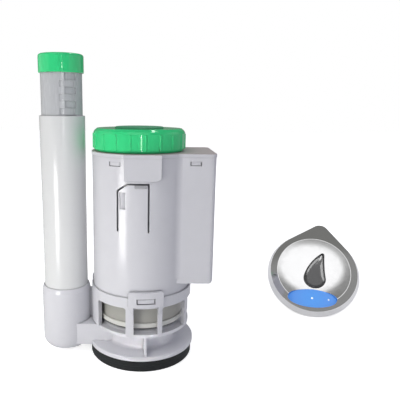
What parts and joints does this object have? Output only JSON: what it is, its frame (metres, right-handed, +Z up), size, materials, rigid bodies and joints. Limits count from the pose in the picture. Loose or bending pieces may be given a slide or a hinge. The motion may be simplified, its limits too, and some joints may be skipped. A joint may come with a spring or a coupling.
{
  "type": "automatic flush valve",
  "caption": "Battery-driven cistern flush valve with water windows, height-adjustable overflow tube and screw lid, and a drop-shaped hand sensor with a push button.",
  "frame": {"origin": "centre of the outlet at the gasket's lower face, which is the height of the surface that the set stands on", "axes": "+Z up along the plug's stem; -Y is the front; the overflow tube is at -X and the drive box at +X"},
  "size_m": [0.3223, 0.1784, 0.257],
  "materials": {
    "gasket_rubber": "matt moulded rubber",
    "grey_abs": "glossy injection moulded",
    "grey_tube": "glossy extruded",
    "green_abs": "glossy injection moulded",
    "beige_pp": "satin moulded",
    "white_acetal": "satin moulded",
    "black_rubber": "matt",
    "silicone": "matt",
    "steel": "plain",
    "brass": "turned",
    "cell_jacket": "plain jacket",
    "circuit_board": "solder mask",
    "dark_plastic": "moulded",
    "chrome_plate": "bright plated",
    "smoked_window": "polished smoked plastic",
    "blue_lens": "polished"
  },
  "bodies": {
    "valve": {"base_gasket": "gasket_rubber", "valve_base": "grey_abs", "latch_cage": "grey_abs", "housing": "grey_abs", "top_cover": "grey_abs", "stem_guide": "white_acetal", "battery_tub": "grey_abs", "battery_cells": "cell_jacket", "contact_carrier": "dark_plastic", "contact_springs": "steel", "manual_switch": "dark_plastic", "drive_frame": "white_acetal", "gear_axles": "steel", "motor": "steel", "control_board": "circuit_board", "cable_grommet": "black_rubber", "frame_screws": "steel", "overflow_tube": "grey_tube", "tube_o_ring": "black_rubber", "sensor_plate": "chrome_plate", "sensor_window": "smoked_window", "sensor_back": "dark_plastic", "sensor_board": "circuit_board", "sensor_nut": "dark_plastic", "sensor_washer": "black_rubber", "sensor_grommet": "black_rubber", "button_spring": "steel"},
    "plug": {"plug_disc": "white_acetal", "plug_float": "beige_pp", "plug_stem": "white_acetal", "seal_washer": "silicone", "seal_retainer": "white_acetal", "lift_rack": "white_acetal", "stem_clips": "steel"},
    "output_gear": {"output_gear": "white_acetal"},
    "idler_gear": {"idler_gear": "white_acetal"},
    "motor_pinion": {"motor_pinion": "brass"},
    "slider": {"slider_tube": "grey_tube", "overflow_collar": "green_abs"},
    "lid_seal": {"lid_o_ring": "black_rubber"},
    "lid": {"screw_lid": "green_abs", "disc_spring": "steel"},
    "push_disc": {"push_disc": "green_abs"},
    "sensor_button": {"sensor_button": "blue_lens"}
  },
  "joints": [
    {"name": "plug_lift", "type": "slide", "parent": "valve", "child": "plug", "axis": [0, 0, 1], "range_m": [0, 0.015]},
    {"name": "output_gear_spin", "type": "hinge", "parent": "valve", "child": "output_gear", "pos_m": [0.044, -0.002, 0.128], "axis": [-1, 0, 0], "range_deg": [0, 122.83]},
    {"name": "idler_gear_spin", "type": "hinge", "parent": "valve", "child": "idler_gear", "pos_m": [0.05, 0.01037, 0.14275], "axis": [1, 0, 0], "range_deg": [0, 368.38]},
    {"name": "motor_pinion_spin", "type": "hinge", "parent": "valve", "child": "motor_pinion", "pos_m": [0.052, 0.02382, 0.15403], "axis": [-1, 0, 0], "range_deg": [0, 1473.37]},
    {"name": "overflow_height", "type": "slide", "parent": "valve", "child": "slider", "axis": [0, 0, 1], "range_m": [-0.033, 0.03]},
    {"name": "lid_rise", "type": "slide", "parent": "valve", "child": "lid_seal", "axis": [0, 0, 1], "range_m": [0, 0.009]},
    {"name": "lid_turn", "type": "hinge", "parent": "lid_seal", "child": "lid", "pos_m": [-0.0025, 0, 0.19], "axis": [0, 0, 1], "range_deg": [0, 540]},
    {"name": "disc_press", "type": "slide", "parent": "lid", "child": "push_disc", "axis": [0, 0, -1], "range_m": [0, 0.003], "stiffness_N_per_m": 500, "springref_m": -0.002, "deforming": ["disc_spring"]},
    {"name": "button_press", "type": "slide", "parent": "valve", "child": "sensor_button", "axis": [0.1953, 0.729, -0.6561], "range_m": [0, 0.0015], "stiffness_N_per_m": 600, "springref_m": -0.0015, "deforming": ["button_spring"]}
  ],
  "couplings": [
    {"joint": "output_gear_spin", "follows": "plug_lift", "rad_per_m": 142.86},
    {"joint": "idler_gear_spin", "follows": "plug_lift", "rad_per_m": 428.57},
    {"joint": "motor_pinion_spin", "follows": "plug_lift", "rad_per_m": 1714.3},
    {"joint": "lid_rise", "follows": "lid_turn", "m_per_rad": 0.00095493}
  ]
}
